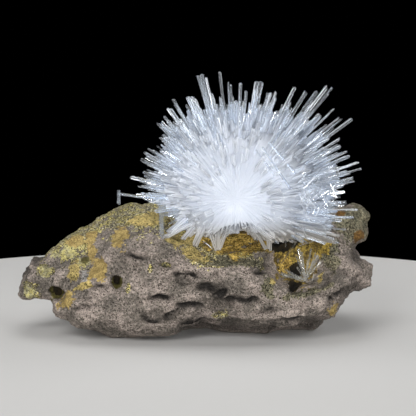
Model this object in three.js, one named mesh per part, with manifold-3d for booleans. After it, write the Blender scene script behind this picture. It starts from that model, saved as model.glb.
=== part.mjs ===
// A scolecite specimen: a ball of clear and milky prisms radiating from one point, seated in an open
// basin on a loose lump of weathered basalt, with a small second spray of needles in a side pocket.
//
// Millimetres. +X runs along the lump to the right, +Y to the back and +Z up. The origin is on the
// surface that the lump rests on, under the middle of the specimen.
import * as THREE from "three";
import { mergeVertices } from "three/addons/utils/BufferGeometryUtils.js";
import Module from "manifold-3d";

const wasm = await Module();
wasm.setup();

// ---------------------------------------------------------------- driving dimensions

const LUMP_LENGTH = 150;
const SPRAY_DEPTH = 100; // front tips to back tips
const SEAT_GAP = 0.3; // between a crystal group and the rock that it grew on
const HEART = new THREE.Vector3(17, 0, 52); // the point that the big spray's crystals radiate from

// The lump in cross-sections, from its left tip to its right end. `fall` is how far the top comes
// down towards the front.
const SECTIONS = [
  { x: -75, top: 21, under: 16, front: -9, back: 5, fall: 0 },
  { x: -71, top: 29, under: 14, front: -18, back: 11, fall: 2 },
  { x: -63, top: 32, under: 12, front: -25, back: 19, fall: 3 },
  { x: -57, top: 36, under: 8, front: -29, back: 24, fall: 4 },
  { x: -51, top: 39, under: 4, front: -32, back: 29, fall: 6 },
  { x: -44, top: 42, under: 1, front: -34, back: 33, fall: 7 },
  { x: -38, top: 46, under: -3, front: -36, back: 36, fall: 8 },
  { x: -32, top: 51, under: -7, front: -37, back: 39, fall: 9 },
  { x: -15, top: 51, under: -4, front: -37, back: 42, fall: 8 },
  { x: 2, top: 51, under: 2, front: -35, back: 44, fall: 10 },
  { x: 16, top: 50, under: -2, front: -36, back: 45, fall: 10 },
  { x: 38, top: 50, under: -1, front: -36, back: 43, fall: 12 },
  { x: 52, top: 50, under: -2, front: -34, back: 39, fall: 15 },
  { x: 60, top: 49, under: 5, front: -30, back: 33, fall: 17 },
  { x: 66, top: 44, under: 13, front: -23, back: 27, fall: 12 },
  { x: 70, top: 36, under: 21, front: -13, back: 15, fall: 3 },
];
const SKIN_RIGHT = 70; // the right end's two lobes stand out from here
const SECTION_CORNER = 2.8; // 2 gives oval sections, more gives squarer ones
const BACK_FALL = 4; // how far the top comes down towards the back
const FALL_ENDS = -0.35; // the fall fades out at this height on the section, from -1 at the bottom to 1
const LUMPS = { size: 20, height: 2.4 }; // large swellings of the broken surface
const KNOBS = { size: 10, height: 2.2 }; // small ones
const SKIN = { around: 28, along: 34, frontBias: 0.35 }; // facets, and how much finer the front is

// Blocks that stand proud of the front and the right end, with the ledges in their joints: centre,
// half-sizes, and dip to the right in degrees.
const BLOCKS = [
  { at: [-66, -14, 24], half: [7, 9, 7], dip: 0 },
  { at: [-71, -12, 17], half: [4.5, 6, 4], dip: 10 },
  { at: [-41, -25, 13], half: [17, 13, 9], dip: 6 },
  { at: [-20, -26, 34], half: [19, 12, 8], dip: 4 },
  { at: [-23, -26, 22], half: [15, 14, 6.5], dip: -4 },
  { at: [-17, -25, 8], half: [22, 14, 7], dip: 2 },
  { at: [4, -27, 19], half: [15, 13, 5.5], dip: 3 },
  { at: [19, -27, 25], half: [17, 13, 9], dip: 6 },
  { at: [34, -27, 11], half: [22, 12, 7.5], dip: -5 },
  { at: [63.5, -10, 23], half: [11.5, 16, 9], dip: 0 },
  { at: [54, -19, 11], half: [6, 9, 6], dip: -20 },
  { at: [61, 6, 40], half: [12, 17, 11], dip: 0 },
];
const BLOCK_CHIPS = 0.12; // how far a block's corners lie in or out, for its size

// Broken faces around the back and the lower edge: a point on each, and the way that it faces.
const FRACTURES = [
  { at: [-54, 22, 26], facing: [-0.55, 1, 0.15] },
  { at: [-26, 36, 30], facing: [-0.15, 1, 0.4] },
  { at: [14, 42, 24], facing: [0.08, 1, -0.12] },
  { at: [44, 37, 36], facing: [0.35, 1, 0.5] },
  { at: [56, 33, 18], facing: [0.7, 1, -0.35] },
  { at: [-14, 36, 5], facing: [-0.2, 0.8, -1] },
  { at: [30, 38, 5], facing: [0.15, 0.9, -1] },
  { at: [-58, 6, 8], facing: [-0.8, 0.3, -1] },
  { at: [-36, -33, 1], facing: [-0.1, -1, -1] },
  { at: [60, -4, 6], facing: [1, 0.1, -1] },
];

// Hollows, as ellipsoids: centre, half-sizes, and facets around. The basin holds the big spray.
const HOLLOWS = [
  { name: "basin", at: [18, -17, 57], half: [46, 40, 22], faces: 13 },
  { name: "basin sill", at: [9, -40, 43], half: [21, 15, 8.5], faces: 10 },
  { name: "side pocket", at: [44, -31, 33], half: [16, 21, 13], faces: 12 },
  { name: "pocket floor", at: [47, -38, 26], half: [11, 10, 6], faces: 8 },
  { name: "gas hole", at: [-32, -38, 25], half: [2.7, 10, 2.8], faces: 8 },
  { name: "gas hole lip", at: [-32, -41, 21.5], half: [2.2, 4, 2.8], faces: 6 },
  { name: "left notch", at: [-57, -30, 18.5], half: [4.5, 12, 3.6], faces: 8 },
  { name: "left scoop", at: [-48, -35, 35], half: [9, 9, 7], faces: 10 },
  { name: "tongue scar", at: [-31, -41, 40], half: [4, 5, 7.5], faces: 8 },
  { name: "triangle scar", at: [-42, -41, 28], half: [6, 5, 4.5], faces: 8 },
];

const HOLLOW_TILT = 0.3; // radians, so that no hollow's facets lie square to the lump

// Slots that weathering has cut back under the blocks: centre, length along X, height and depth,
// and dip to the right in degrees.
const SLOTS = [
  { at: [-4, -40, 27], long: 14, high: 3, deep: 7, dip: 3 },
  { at: [13, -40, 16], long: 22, high: 5, deep: 10, dip: 10 },
  { at: [-6, -40, 13], long: 22, high: 3, deep: 8, dip: -5 },
  { at: [3, -38, 3], long: 24, high: 4, deep: 10, dip: 2 },
  { at: [46, -38, 3.5], long: 18, high: 5, deep: 9, dip: -4 },
];
const SLOT_RISE = 0.35; // radians that a slot runs uphill, inwards

const BEYOND = 400; // a size well past the lump, for cutting boxes

// The spray's milky body, as its reach from the heart above and below the spray's waist.
const BODY = { upper: 37, lower: 17.5, waist: -5, blend: 34, rough: 0.12 };

// The crystals that stand out around the spray's outline: [angle from upright in degrees, positive
// to the right; reach from the heart; width].
const OUTLINE_CRYSTALS = [
  [-83, 43, 2.1], [-75, 46, 1.5], [-71, 43, 2.4], [-65, 44, 2.1], [-61, 44, 2.4],
  [-42, 48, 2.4], [-35, 51, 2.1], [-31, 52, 2.2], [-24, 50, 3.2], [-16, 57, 2.8],
  [-13, 56, 1.5], [-7, 57, 1.3], [-3, 53, 1.7], [2, 52, 1.5], [5, 49, 1.3],
  [10, 53, 3.3], [17, 52, 1.9], [20, 51, 2.1], [26, 56, 1.3], [32, 56, 1.6],
  [35, 59, 1.3], [38, 63, 1.4], [40, 64, 1.5], [46, 58, 1.0], [50, 61, 1.9],
  [53, 61, 1.5], [57, 52, 1.4], [61, 53, 1.8], [66, 54, 2.3], [70, 55, 1.3],
  [74, 55, 1.1], [77, 53, 2.5], [82, 47, 2.4], [88, 47, 1.6], [93, 51, 1.8],
  [97, 50, 1.5], [103, 48, 1.6], [108, 46, 2.2],
];
const OUTLINE_LEAN = 9; // how far these lean to the front or back, in degrees

// The rest of the crystals. Each stands on one facet of the milky body, and `share` of the facets
// away from the outline have one. `bias` is how much further they reach on the right.
const FIELD = { share: 0.42, reach: [42, 52], bias: 4, width: [1.9, 3.2], lowest: -18, outline: 0.13 };
const LONGEST_DEEP = { ways: [[-70, 86], [60, -87]], width: 2.4 }; // to the front and to the back
const TIP_SLOPE = 0.45; // a tip's height for its width
const TAPER = 0.86; // a prism's width at its root for its width at its shoulder

// Prisms that hang from the spray's front over the basin's rim: [from, to, width].
const HANGING = [
  [[-12, -27, 55], [-13.5, -33, 43.5], 1.5],
  [[-5, -25, 50], [-13.2, -33.5, 43.2], 2.6],
  [[1, -27, 46], [-4.5, -35.5, 41.5], 2.2],
  [[4, -27, 45], [-0.5, -35.5, 37.5], 2.1],
  [[6, -25, 46], [8.6, -35.5, 36.8], 2.4],
  [[12, -25, 46], [9.2, -35.5, 36.8], 2.2],
  [[27, -26, 46], [30, -34, 38.2], 1.6],
  [[32, -26, 46], [30.6, -34, 38], 1.7],
  [[25, -27, 46], [35, -36, 42], 1.9],
];

// Long prisms that don't point at the heart: two across the spray's right face, and one that lies out
// to the left with a short upright one on its tip.
const STRAYS = [
  [[27, -31, 77], [38, -34, 60], 1.3],
  [[31, -29, 78], [41, -33, 67], 1.1],
  [[-8, -2, 53], [-33, -2, 57], 1.7],
  [[-32.3, -2, 58.3], [-32.3, -2, 52.6], 1.4],
];

// The side pocket's spray: its foot, and its needles as [angle from upright, lean to the front,
// length, width].
const POCKET_FOOT = { x: 47, y: -28, radius: 3.6, flatness: 0.6, rise: 1.2, roof: 34 };
const POCKET_NEEDLES = [
  [-84, 14, 15, 1.2], [-70, 30, 14, 1.0], [-50, 24, 13, 1.2], [-36, 10, 15, 2.0],
  [-20, 26, 12, 1.2], [-4, 10, 13, 1.1], [16, 8, 12, 1.6], [32, 20, 9, 1.3],
];

const FINISHES = {
  basalt: { color: 0x7d7369, roughness: 0.9 },
  scolecite: { color: 0xe6ebf2, roughness: 0.15 },
  needles: { color: 0xcfd3d6, roughness: 0.2 },
};

// ---------------------------------------------------------------- helpers

// A geometry's triangles with nothing but their positions.
function bare(geometry) {
  const loose = geometry.index ? geometry.toNonIndexed() : geometry;
  const plain = new THREE.BufferGeometry();
  return plain.setAttribute("position", loose.getAttribute("position").clone());
}

// A closed geometry as a solid, without the faces that closed up to nothing.
function solid(geometry) {
  const merged = mergeVertices(bare(geometry), 1e-4);
  const triVerts = [];
  const index = merged.index.array;
  for (let i = 0; i < index.length; i += 3) {
    const [a, b, c] = index.subarray(i, i + 3);
    if (a !== b && b !== c && c !== a) triVerts.push(a, b, c);
  }
  return new wasm.Manifold(
    new wasm.Mesh({
      numProp: 3,
      vertProperties: merged.getAttribute("position").array,
      triVerts: new Uint32Array(triVerts),
    }),
  );
}

// A solid as a geometry with flat faces.
function geometryOf(manifold) {
  const mesh = manifold.getMesh();
  const geometry = new THREE.BufferGeometry();
  const places = new Float32Array(mesh.numVert * 3);
  for (let i = 0; i < mesh.numVert; i++) {
    places.set(mesh.vertProperties.subarray(i * mesh.numProp, i * mesh.numProp + 3), i * 3);
  }
  geometry.setAttribute("position", new THREE.BufferAttribute(places, 3));
  geometry.setIndex(new THREE.BufferAttribute(mesh.triVerts, 1));
  const flat = geometry.toNonIndexed();
  flat.computeVertexNormals();
  return flat;
}

// The largest single body of a solid, which leaves out chips that a cut has freed.
function mainBody(manifold) {
  const bodies = manifold.decompose();
  return bodies.reduce((best, body) => (body.volume() > best.volume() ? body : best));
}

// Repeatable random numbers from 0 to 1.
function randomFrom(seed) {
  let state = seed;
  return () => {
    state = (state + 0x6d2b79f5) | 0;
    let t = Math.imul(state ^ (state >>> 15), 1 | state);
    t = (t + Math.imul(t ^ (t >>> 7), 61 | t)) ^ t;
    return ((t ^ (t >>> 14)) >>> 0) / 4294967296;
  };
}

// Smooth noise from -1 to 1 in space, the same on every run.
function noise(x, y, z) {
  const [i, j, k] = [Math.floor(x), Math.floor(y), Math.floor(z)];
  const corner = (a, b, c) => {
    const s = Math.sin((i + a) * 127.1 + (j + b) * 311.7 + (k + c) * 74.7) * 43758.5453;
    return 2 * (s - Math.floor(s)) - 1;
  };
  const ease = (t) => t * t * (3 - 2 * t);
  const [u, v, w] = [ease(x - i), ease(y - j), ease(z - k)];
  const lerp = THREE.MathUtils.lerp;
  const edge = (b, c) => lerp(corner(0, b, c), corner(1, b, c), u);
  return lerp(lerp(edge(0, 0), edge(1, 0), v), lerp(edge(0, 1), edge(1, 1), v), w);
}

// A direction from an angle off upright, positive to the right, and a lean to the front.
function aim(tiltDeg, leanDeg) {
  const tilt = THREE.MathUtils.degToRad(tiltDeg);
  const lean = THREE.MathUtils.degToRad(leanDeg);
  return new THREE.Vector3(
    Math.sin(tilt) * Math.cos(lean),
    -Math.sin(lean),
    Math.cos(tilt) * Math.cos(lean),
  );
}

// ---------------------------------------------------------------- the basalt lump

function sectionAt(x) {
  const last = SECTIONS.length - 1;
  let i = 0;
  while (i < last - 1 && SECTIONS[i + 1].x < x) i++;
  const [a, b] = [SECTIONS[i], SECTIONS[i + 1]];
  const t = THREE.MathUtils.clamp((x - a.x) / (b.x - a.x), 0, 1);
  const between = (key) => THREE.MathUtils.lerp(a[key], b[key], t);
  return {
    top: between("top"),
    under: between("under"),
    front: between("front"),
    back: between("back"),
    fall: between("fall"),
  };
}

// How far the broken surface swells at a place.
function swell(x, y, z) {
  return (
    LUMPS.height * noise(x / LUMPS.size, y / LUMPS.size, z / LUMPS.size + 7) +
    KNOBS.height * noise(x / KNOBS.size + 3, y / KNOBS.size, z / KNOBS.size)
  );
}

// A ball's skin, pole to pole along X, is drawn out to the sections and then roughened.
function lumpSkin() {
  const geometry = new THREE.SphereGeometry(1, SKIN.around, SKIN.along);
  const place = geometry.getAttribute("position");
  const squarer = (c) => Math.sign(c) * Math.abs(c) ** (2 / SECTION_CORNER);
  for (let i = 0; i < place.count; i++) {
    const along = place.getY(i);
    const ring = Math.hypot(place.getX(i), place.getZ(i));
    const round = Math.atan2(place.getX(i), place.getZ(i));
    const angle = round + SKIN.frontBias * Math.sin(round);
    const [cy, cz] = ring < 1e-6 ? [0, 0] : [Math.cos(angle), Math.sin(angle)];
    const x = THREE.MathUtils.mapLinear(along, -1, 1, -LUMP_LENGTH / 2, SKIN_RIGHT);
    const s = sectionAt(x);
    const upper = Math.max(0, cz - FALL_ENDS);
    const fall = (s.fall * Math.max(0, -cy) + BACK_FALL * Math.max(0, cy)) * upper;
    const y = (s.front + s.back) / 2 + ((s.back - s.front) / 2) * squarer(cy);
    const z = (s.top + s.under) / 2 + ((s.top - s.under) / 2) * squarer(cz) - fall;
    const out = swell(x, y, z) * Math.min(1, 2 * ring);
    place.setXYZ(i, x + out * along, y + out * cy, z + out * cz);
  }
  return geometry;
}

// A block is a ball of broad facets with its corners moved in or out.
function block({ at, half, dip }, seed) {
  const random = randomFrom(seed);
  const shape = mergeVertices(bare(new THREE.IcosahedronGeometry(1, 1)), 1e-4);
  const place = shape.getAttribute("position");
  for (let i = 0; i < place.count; i++) {
    const grown = 1 + BLOCK_CHIPS * (2 * random() - 1);
    place.setXYZ(i, place.getX(i) * grown, place.getY(i) * grown, place.getZ(i) * grown);
  }
  shape.scale(...half).rotateY(THREE.MathUtils.degToRad(dip)).translate(...at);
  return solid(shape);
}

// A broken face is where a large box has taken the rock away.
function fracture({ at, facing }) {
  const shape = new THREE.BoxGeometry(BEYOND, BEYOND, BEYOND).translate(0, 0, BEYOND / 2);
  const out = new THREE.Vector3(...facing).normalize();
  shape.applyQuaternion(new THREE.Quaternion().setFromUnitVectors(new THREE.Vector3(0, 0, 1), out));
  return solid(shape.translate(...at));
}

function hollow({ at, half, faces }) {
  const shape = new THREE.SphereGeometry(1, faces, Math.max(5, Math.round(faces * 0.6)));
  return solid(shape.rotateX(HOLLOW_TILT).scale(...half).translate(...at));
}

// A slot has a level roof and a floor that rises inwards.
function slot({ at, long, high, deep, dip }) {
  const shape = new THREE.SphereGeometry(1, 10, 6).scale(long / 2, deep, high / 2);
  shape.rotateX(-SLOT_RISE).rotateY(THREE.MathUtils.degToRad(dip));
  return solid(shape.translate(...at));
}

function makeLump() {
  const foot = { at: [0, 0, 0], facing: [0, 0, -1] };
  const blocks = BLOCKS.map((one, i) => block(one, i + 1));
  const cuts = [...[...FRACTURES, foot].map(fracture), ...HOLLOWS.map(hollow), ...SLOTS.map(slot)];
  const whole = wasm.Manifold.union([solid(lumpSkin()), ...blocks]);
  return mainBody(whole.subtract(wasm.Manifold.union(cuts)));
}

// The rock and copies of it moved out by the seat gap, to trim the crystals that grow on it.
function seatOf(lump) {
  const ways = [[0, 0, 1], [0.9, 0, 0.5], [-0.9, 0, 0.5], [0, 0.9, 0.5], [0, -0.9, 0.5]];
  const moved = ways.map((way) => lump.translate(way.map((part) => part * SEAT_GAP)));
  return wasm.Manifold.union([lump, ...moved]);
}

// ---------------------------------------------------------------- crystals

// A four-sided prism with a low pyramid for its tip, from root to tip.
function prism(root, tip, width, turn = 0) {
  const way = tip.clone().sub(root);
  const length = way.length();
  const half = width / Math.SQRT2;
  const shoulder = length - TIP_SLOPE * width;
  const outline = [
    new THREE.Vector2(0, 0),
    new THREE.Vector2(half * TAPER, 0),
    new THREE.Vector2(half, shoulder),
    new THREE.Vector2(0, length),
  ];
  const shape = new THREE.LatheGeometry(outline, 4).rotateY(turn);
  const up = new THREE.Vector3(0, 1, 0);
  shape.applyQuaternion(new THREE.Quaternion().setFromUnitVectors(up, way.normalize()));
  return shape.translate(...root);
}

// The milky body: a ball of bundle ends, shorter below its waist where it sits in the basin.
function sprayBody(random) {
  const shape = mergeVertices(bare(new THREE.IcosahedronGeometry(1, 4)), 1e-4);
  const place = shape.getAttribute("position");
  for (let i = 0; i < place.count; i++) {
    const way = new THREE.Vector3().fromBufferAttribute(place, i).normalize();
    const height = THREE.MathUtils.radToDeg(Math.asin(way.z));
    const share = THREE.MathUtils.smoothstep(height, BODY.waist - BODY.blend, BODY.waist);
    const reach = THREE.MathUtils.lerp(BODY.lower, BODY.upper, share);
    way.multiplyScalar(reach * (1 + BODY.rough * (2 * random() - 1) * share)).add(HEART);
    place.setXYZ(i, ...way);
  }
  return shape;
}

// The directions from the heart to the middles of the body's facets.
function facetDirections(body) {
  const loose = bare(body).getAttribute("position");
  return Array.from({ length: loose.count / 3 }, (_, i) => {
    const middle = new THREE.Vector3();
    for (let corner = 0; corner < 3; corner++) {
      middle.add(new THREE.Vector3().fromBufferAttribute(loose, 3 * i + corner).sub(HEART));
    }
    return middle.normalize();
  });
}

// Keeps a crystal inside the spray's depth by cutting its reach.
function reachWithin(way, reach) {
  return Math.min(reach, SPRAY_DEPTH / 2 / Math.max(Math.abs(way.y), 1e-6));
}

function makeSpray(lump) {
  const random = randomFrom(20);
  const body = sprayBody(random);
  const pieces = [solid(body)];
  const radial = (way, reach, width) => {
    const root = HEART.clone().addScaledVector(way, BODY.lower);
    const tip = HEART.clone().addScaledVector(way, reachWithin(way, reach));
    const room = solid(prism(root, tip, width + 2 * SEAT_GAP));
    if (!room.intersect(lump).isEmpty()) return;
    pieces.push(solid(prism(root, tip, width, random() * Math.PI)));
  };
  for (const [tilt, reach, width] of OUTLINE_CRYSTALS) {
    const lean = OUTLINE_LEAN * (2 * random() - 1);
    radial(aim(tilt, lean), reach / Math.cos(THREE.MathUtils.degToRad(lean)), width);
  }
  for (const [tilt, lean] of LONGEST_DEEP.ways) radial(aim(tilt, lean), SPRAY_DEPTH, LONGEST_DEEP.width);
  const lowest = Math.sin(THREE.MathUtils.degToRad(FIELD.lowest));
  for (const way of facetDirections(body)) {
    const clear = way.z > lowest && Math.abs(way.y) > FIELD.outline;
    if (!clear || random() > FIELD.share) continue;
    const reach = THREE.MathUtils.lerp(...FIELD.reach, random() ** 1.5) + FIELD.bias * way.x;
    radial(way, reach, THREE.MathUtils.lerp(...FIELD.width, random() ** 1.5));
  }
  for (const [from, to, width] of [...HANGING, ...STRAYS]) {
    pieces.push(solid(prism(new THREE.Vector3(...from), new THREE.Vector3(...to), width)));
  }
  return mainBody(wasm.Manifold.union(pieces).subtract(seatOf(lump)));
}

// ---------------------------------------------------------------- the side pocket's spray

// The pocket's floor under a place in it.
function floorBelow(lump, place) {
  const mesh = new THREE.Mesh(geometryOf(lump), new THREE.MeshBasicMaterial());
  return new THREE.Raycaster(place, new THREE.Vector3(0, 0, -1)).intersectObject(mesh)[0].point;
}

function makePocketCrystals(lump, spray) {
  const { x, y, radius, flatness, rise, roof } = POCKET_FOOT;
  const foot = floorBelow(lump, new THREE.Vector3(x, y, roof));
  foot.z += rise;
  const crust = new THREE.IcosahedronGeometry(radius, 1).scale(1, 1, flatness).translate(...foot);
  const pieces = [solid(crust)];
  for (const [tilt, lean, length, width] of POCKET_NEEDLES) {
    const way = aim(tilt, lean);
    const tip = foot.clone().addScaledVector(way, length);
    pieces.push(solid(prism(foot, tip, width)));
  }
  const lowered = spray.translate([0, 0, -SEAT_GAP]);
  const away = wasm.Manifold.union([seatOf(lump), spray, lowered]);
  return mainBody(wasm.Manifold.union(pieces).subtract(away));
}

// ---------------------------------------------------------------- the specimen

function named(name, manifold, finish) {
  const material = new THREE.MeshStandardMaterial({ ...finish, metalness: 0, flatShading: true });
  const mesh = new THREE.Mesh(geometryOf(manifold), material);
  mesh.name = name;
  return mesh;
}

const lump = makeLump();
const spray = makeSpray(lump);
const pocketCrystals = makePocketCrystals(lump, spray);

const specimen = new THREE.Group();
specimen.name = "scolecite_specimen";
specimen.add(
  named("matrix_rock", lump, FINISHES.basalt),
  named("scolecite_spray", spray, FINISHES.scolecite),
  named("pocket_crystals", pocketCrystals, FINISHES.needles),
);

export default specimen;
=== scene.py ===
# %% [markdown]
# # A scolecite specimen
#
# Scolecite is a zeolite. It grows in the gas holes of old lava as square prisms, thin as needles, that
# radiate from one point. This specimen has three pieces: a lump of weathered basalt, a large ball of
# prisms that sits in an open basin in it, and a small spray of needles in a pocket at its side.
#
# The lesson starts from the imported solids, which give every place and size, and makes the pieces as
# they look: broken stone, milky and clear crystal. Units are metres, with +X to the right, +Y to the
# back and +Z up.

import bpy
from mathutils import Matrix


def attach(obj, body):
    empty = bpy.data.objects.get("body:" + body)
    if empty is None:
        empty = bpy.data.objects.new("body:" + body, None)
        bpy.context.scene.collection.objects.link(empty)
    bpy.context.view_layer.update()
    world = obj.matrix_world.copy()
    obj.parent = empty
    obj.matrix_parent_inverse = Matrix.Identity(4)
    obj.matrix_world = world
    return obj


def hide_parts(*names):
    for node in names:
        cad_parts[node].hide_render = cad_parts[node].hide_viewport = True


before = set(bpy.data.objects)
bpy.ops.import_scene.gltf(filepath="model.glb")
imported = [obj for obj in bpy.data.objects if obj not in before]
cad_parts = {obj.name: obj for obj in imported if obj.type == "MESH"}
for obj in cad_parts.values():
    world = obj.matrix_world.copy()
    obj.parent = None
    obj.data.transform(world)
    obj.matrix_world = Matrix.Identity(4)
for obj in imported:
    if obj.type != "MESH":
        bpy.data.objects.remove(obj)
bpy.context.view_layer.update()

# %% Imports
import math
import random
from collections import namedtuple

import bmesh
import bpy
import numpy as np
from mathutils import Euler, Vector, noise
from mathutils.bvhtree import BVHTree

MM = 0.001
BODY = "root"  # the one body, because nothing on a stone moves
scene = bpy.context.scene


def add_object(name, data):
    """A new object in the scene, for a mesh, a lamp or a camera."""
    made = bpy.data.objects.new(name, data)
    scene.collection.objects.link(made)
    return made


print("version", bpy.app.version_string)

# %% [markdown]
# ## The camera
#
# A long lens from a little above keeps the lump's sides nearly parallel, so that its proportions can be
# read. The lens is worked out from how much of the specimen's plane the square frame takes in.

# %% Camera
FRAME_PX = 416  # the frame is square
MM_PER_PX = 0.4225  # in the specimen's own plane
SENSOR = 36.0  # millimetres, as Blender gives its lenses
VIEW_FROM = 0.85  # metres from the point looked at
VIEW_HEIGHT = math.radians(8)
VIEW_WIDTH = MM_PER_PX * MM * FRAME_PX  # what the frame takes in at that point
LOOK_AT = Vector((5.28, 0, 50.5)) * MM

camera_data = bpy.data.cameras.new("camera")
camera_data.sensor_width = SENSOR
camera_data.lens = SENSOR * VIEW_FROM / VIEW_WIDTH
camera_data.clip_start = 0.05
camera = add_object("camera", camera_data)
camera.location = LOOK_AT + VIEW_FROM * Vector((0, -math.cos(VIEW_HEIGHT), math.sin(VIEW_HEIGHT)))
camera.rotation_euler = Euler((math.pi / 2 - VIEW_HEIGHT, 0, 0))
scene.camera = camera
print(f"lens {camera_data.lens:.0f} mm, {VIEW_FROM * 1000:.0f} mm away")

# %% [markdown]
# ## Node helpers
#
# Shader trees and geometry trees are made of the same parts: nodes, values on their sockets, and links.
# One small class with short calls keeps each tree in the lesson readable as the sum that it is.

# %% Graph
class Graph:
    """A node tree, with a call for each kind of node that this lesson uses often."""

    def __init__(self, tree):
        self.tree = tree

    def node(self, kind, inputs=None, **settings):
        """A new node. inputs gives a socket, by name or number, its value or the socket that feeds it."""
        made = self.tree.nodes.new(kind)
        for name, value in settings.items():
            setattr(made, name, value)
        self.fill(made, inputs or {})
        return made

    def fill(self, made, inputs):
        """Gives a node's sockets their values or what feeds them."""
        for key, value in inputs.items():
            if isinstance(value, bpy.types.NodeSocket):
                self.tree.links.new(value, made.inputs[key])
            else:
                made.inputs[key].default_value = value

    def group(self, tree, inputs):
        """The outputs of a shader group that is placed here."""
        return self.node("ShaderNodeGroup", inputs, node_tree=tree).outputs

    def math(self, operation, a, b):
        return self.node("ShaderNodeMath", {0: a, 1: b}, operation=operation).outputs[0]

    def plus(self, a, b):
        return self.math("ADD", a, b)

    def minus(self, a, b):
        return self.math("SUBTRACT", a, b)

    def times(self, a, b):
        return self.math("MULTIPLY", a, b)

    def vector(self, operation, a, b=(0, 0, 0)):
        second = "Scale" if operation == "SCALE" else 1
        made = self.node("ShaderNodeVectorMath", {0: a, second: b}, operation=operation)
        return made.outputs["Value" if operation in ("LENGTH", "DOT_PRODUCT") else "Vector"]

    def xyz(self, x=0.0, y=0.0, z=0.0):
        return self.node("ShaderNodeCombineXYZ", {0: x, 1: y, 2: z}).outputs[0]

    def height(self, where):
        """A place's height."""
        return self.node("ShaderNodeSeparateXYZ", {0: where}).outputs[2]

    def ramp(self, value, low, high, out_low=0.0, out_high=1.0):
        """A smooth step from out_low to out_high while value goes from low to high."""
        ends = {"Value": value, "From Min": low, "From Max": high, "To Min": out_low, "To Max": out_high}
        return self.node("ShaderNodeMapRange", ends, interpolation_type="SMOOTHSTEP").outputs[0]

    def mix(self, share, a, b, blend="MIX"):
        """A colour between a and b, or b laid on a by another way of blending."""
        inputs = {0: share, 6: a, 7: b}
        return self.node("ShaderNodeMix", inputs, data_type="RGBA", blend_type=blend).outputs[2]

    def shaded(self, tint, share):
        """A colour times a number."""
        grey = self.node("ShaderNodeCombineColor", {0: share, 1: share, 2: share}).outputs[0]
        return self.mix(1.0, tint, grey, "MULTIPLY")

    def noise(self, where, scale=1.0, detail=2.0, output=0):
        """Smooth noise round 0.5, with scale lumps to a unit of length and detail layers of finer ones."""
        inputs = {"Vector": where, "Scale": scale, "Detail": detail}
        return self.node("ShaderNodeTexNoise", inputs).outputs[output]

    def cells(self, where, output="Color"):
        """Voronoi cells, one to a unit of length."""
        return self.node("ShaderNodeTexVoronoi", {"Vector": where, "Scale": 1.0}).outputs[output]

    def bump(self, height, strength, distance):
        inputs = {"Height": height, "Strength": strength, "Distance": distance}
        return self.node("ShaderNodeBump", inputs).outputs[0]

    def attribute(self, name, output="Fac"):
        """What a mesh holds for each point, as a material reads it."""
        return self.node("ShaderNodeAttribute", attribute_name=name).outputs[output]

    def stored(self, name, kind="FLOAT"):
        """The same, as a geometry tree reads it."""
        return self.node("GeometryNodeInputNamedAttribute", {"Name": name}, data_type=kind).outputs[0]


def colour(code):
    """A web colour such as 8a7f76 as the linear colour that shaders work in."""
    parts = [int(code[i : i + 2], 16) / 255 for i in (0, 2, 4)]
    return (*[p / 12.92 if p <= 0.04045 else ((p + 0.055) / 1.055) ** 2.4 for p in parts], 1.0)


def new_group(name, kind, inputs, outputs):
    """A node group with its sockets. Returns its graph and the nodes at its two ends."""
    tree = bpy.data.node_groups.new(name, kind)
    for in_out, sockets in (("INPUT", inputs), ("OUTPUT", outputs)):
        for socket_name, socket_type, *default in sockets:
            kind_name = "NodeSocket" + socket_type
            made = tree.interface.new_socket(socket_name, in_out=in_out, socket_type=kind_name)
            if default:
                made.default_value = default[0]
    graph = Graph(tree)
    return graph, graph.node("NodeGroupInput"), graph.node("NodeGroupOutput")


def new_material(name):
    """A material, with its graph and its shader."""
    material = bpy.data.materials.new(name)
    material.use_nodes = True
    return material, Graph(material.node_tree), material.node_tree.nodes["Principled BSDF"]


print("white is", [round(c, 2) for c in colour("ffffff")])

# %% [markdown]
# ## The studio
#
# The specimen stands on a plain pale floor, a round board more than twice as wide as the frame. Three
# soft boxes in front and three behind light it, and the room beyond is dark. Clear crystal needs that
# darkness: it shows only what it mirrors and what is behind it, so against a bright wall its edges would
# be lost.

# %% Floor and lights
FLOOR_RADIUS = 0.2
LIGHTS = {  # name: (place in metres, size in metres, watts, beam in degrees)
    "key": ((-0.30, -0.60, 0.50), 0.45, 1.5, 120),
    "fill": ((0.46, -0.56, 0.30), 0.40, 0.8, 120),
    "low": ((0.03, -0.78, 0.045), 0.20, 1.25, 100),
    "left": ((-0.50, 0.16, 0.30), 0.35, 0.6, 120),
    "right": ((0.50, 0.20, 0.34), 0.35, 0.6, 120),
    "top": ((0.00, 0.20, 0.62), 0.40, 0.7, 120),
}

floor_mesh = bpy.data.meshes.new("floor")
disc = bmesh.new()
bmesh.ops.create_circle(disc, cap_ends=True, radius=FLOOR_RADIUS, segments=128)
disc.to_mesh(floor_mesh)
disc.free()
floor = add_object("floor", floor_mesh)

for name, (place, size, watts, beam) in LIGHTS.items():
    light = bpy.data.lights.new(name, "AREA")
    light.shape = "SQUARE"
    light.size, light.energy, light.spread = size, watts, math.radians(beam)
    lamp = add_object(name, light)
    lamp.location = place
    lamp.rotation_euler = (LOOK_AT - Vector(place)).to_track_quat("-Z", "Y").to_euler()

world = bpy.data.worlds.new("studio")
world.use_nodes = True
world.node_tree.nodes["Background"].inputs["Color"].default_value = (0, 0, 0, 1)
scene.world = world
scene.view_settings.view_transform = "Standard"
print(f"floor {2 * FLOOR_RADIUS} m across, lights: {', '.join(LIGHTS)}")

# %% Floor material
floor_material, floor_graph, floor_shader = new_material("floor_paper")
floor_graph.fill(floor_shader, {"Base Color": colour("c9c8c6"), "Roughness": 0.9})
floor_mesh.materials.append(floor_material)
print("the floor is plain pale paper")

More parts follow.
